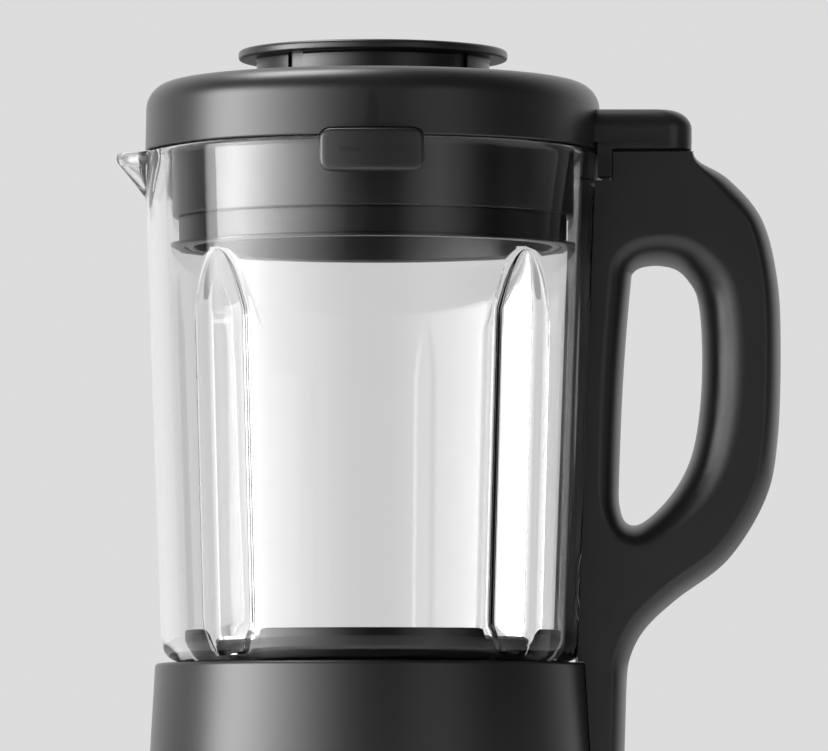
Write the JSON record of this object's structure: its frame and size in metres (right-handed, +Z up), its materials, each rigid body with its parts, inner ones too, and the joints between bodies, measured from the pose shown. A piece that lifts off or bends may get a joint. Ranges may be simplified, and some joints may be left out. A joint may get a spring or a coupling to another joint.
{
  "type": "soy milk maker",
  "caption": "Countertop soy milk maker: a glass jug with spout, handle, lid and vent cap, heated bowl and blades, on a round motor base.",
  "frame": {"origin": "middle of the flat underside of the motor base, on the axis shared by rotor, blades, jug and lid", "axes": "+Z up along the drive axis, +X towards the handle, -X towards the spout, -Y towards the control panel and the front latch"},
  "size_m": [0.235, 0.1936, 0.4577],
  "materials": {
    "gloss_black_plastic": "black ABS with a satin gloss",
    "matte_black_plastic": "black moulded plastic, matt",
    "black_silicone": "black silicone rubber",
    "clear_glass": "clear pressed borosilicate glass",
    "stainless_steel": "brushed stainless sheet",
    "turned_steel": "turned steel",
    "cast_aluminium": "die-cast aluminium",
    "nickel_plate": "nickel plated",
    "stator_iron": "laminated iron with lacquered windings",
    "circuit_board": "green circuit board",
    "smoked_window": "smoked clear plastic window"
  },
  "bodies": {
    "base": {"base_shell": "gloss_black_plastic", "bottom_cover": "matte_black_plastic", "seat_ring": "black_silicone", "foot_1": "black_silicone", "foot_2": "black_silicone", "foot_3": "black_silicone", "foot_4": "black_silicone", "motor_stator": "stator_iron", "upper_bracket": "cast_aluminium", "lower_bracket": "cast_aluminium", "power_board": "circuit_board", "control_board": "circuit_board", "control_panel": "gloss_black_plastic", "display_window": "smoked_window", "inlet_socket": "matte_black_plastic", "base_connector": "matte_black_plastic"},
    "rotor": {"motor_rotor": "turned_steel", "cooling_fan": "matte_black_plastic", "drive_coupling": "matte_black_plastic"},
    "jug": {"glass_jug": "clear_glass", "handle_front_half": "gloss_black_plastic", "handle_back_half": "gloss_black_plastic", "handle_screw_1": "turned_steel", "handle_screw_2": "turned_steel", "reed_switch": "matte_black_plastic", "heater_bowl": "stainless_steel", "bowl_seal": "black_silicone", "heating_element": "cast_aluminium", "temperature_sensor": "turned_steel", "bearing_housing": "cast_aluminium", "upper_bearing": "turned_steel", "lower_bearing": "turned_steel", "housing_nut": "turned_steel", "shaft_seal": "black_silicone", "jug_collar": "gloss_black_plastic", "collar_base_plate": "matte_black_plastic", "collar_screw_1": "turned_steel", "collar_screw_2": "turned_steel", "jug_connector": "matte_black_plastic"},
    "blades": {"blade_shaft": "turned_steel", "lower_blade": "stainless_steel", "upper_blade": "stainless_steel", "blade_nut": "turned_steel", "driven_coupling": "matte_black_plastic"},
    "lid": {"lid_cover": "gloss_black_plastic", "lid_arm_plate": "matte_black_plastic", "lid_magnet": "nickel_plate", "lid_plug": "matte_black_plastic", "lid_seal": "black_silicone", "latch_pin_front": "turned_steel", "latch_pin_back": "turned_steel"},
    "latch_front": {"front_latch": "gloss_black_plastic"},
    "latch_back": {"back_latch": "gloss_black_plastic"},
    "cap": {"vent_cap": "gloss_black_plastic", "cap_seal_ring": "black_silicone", "cap_baffle": "matte_black_plastic"},
    "knob": {"selector_knob": "matte_black_plastic"},
    "button_start": {"start_button": "matte_black_plastic"},
    "button_cancel": {"cancel_button": "matte_black_plastic"}
  },
  "joints": [
    {"name": "rotor_spin", "type": "hinge", "parent": "base", "child": "rotor", "pos_m": [0, 0, 0.085], "axis": [0, 0, 1], "continuous": true},
    {"name": "jug_lift", "type": "slide", "parent": "base", "child": "jug", "axis": [0, 0, 1], "range_m": [0, 0.08]},
    {"name": "blade_spin", "type": "hinge", "parent": "jug", "child": "blades", "pos_m": [0, 0, 0.2], "axis": [0, 0, 1], "continuous": true},
    {"name": "lid_lift", "type": "slide", "parent": "jug", "child": "lid", "axis": [0, 0, 1], "range_m": [0, 0.06]},
    {"name": "cap_lift", "type": "slide", "parent": "lid", "child": "cap", "axis": [0, 0, 1], "range_m": [0, 0.04]},
    {"name": "front_latch_swing", "type": "hinge", "parent": "lid", "child": "latch_front", "pos_m": [0, -0.0739, 0.4236], "axis": [-1, 0, 0], "range_deg": [0, 10]},
    {"name": "back_latch_swing", "type": "hinge", "parent": "lid", "child": "latch_back", "pos_m": [0, 0.0739, 0.4236], "axis": [1, 0, 0], "range_deg": [0, 10]},
    {"name": "knob_turn", "type": "hinge", "parent": "base", "child": "knob", "pos_m": [0, -0.09, 0.082], "axis": [0, 1, 0], "range_deg": [0, 270]},
    {"name": "start_press", "type": "slide", "parent": "base", "child": "button_start", "axis": [0, 1, 0], "range_m": [0, 0.0012], "stiffness_N_per_m": 300},
    {"name": "cancel_press", "type": "slide", "parent": "base", "child": "button_cancel", "axis": [0, 1, 0], "range_m": [0, 0.0012], "stiffness_N_per_m": 300}
  ],
  "couplings": [
    {"joint": "blade_spin", "follows": "rotor_spin", "ratio": 1}
  ]
}
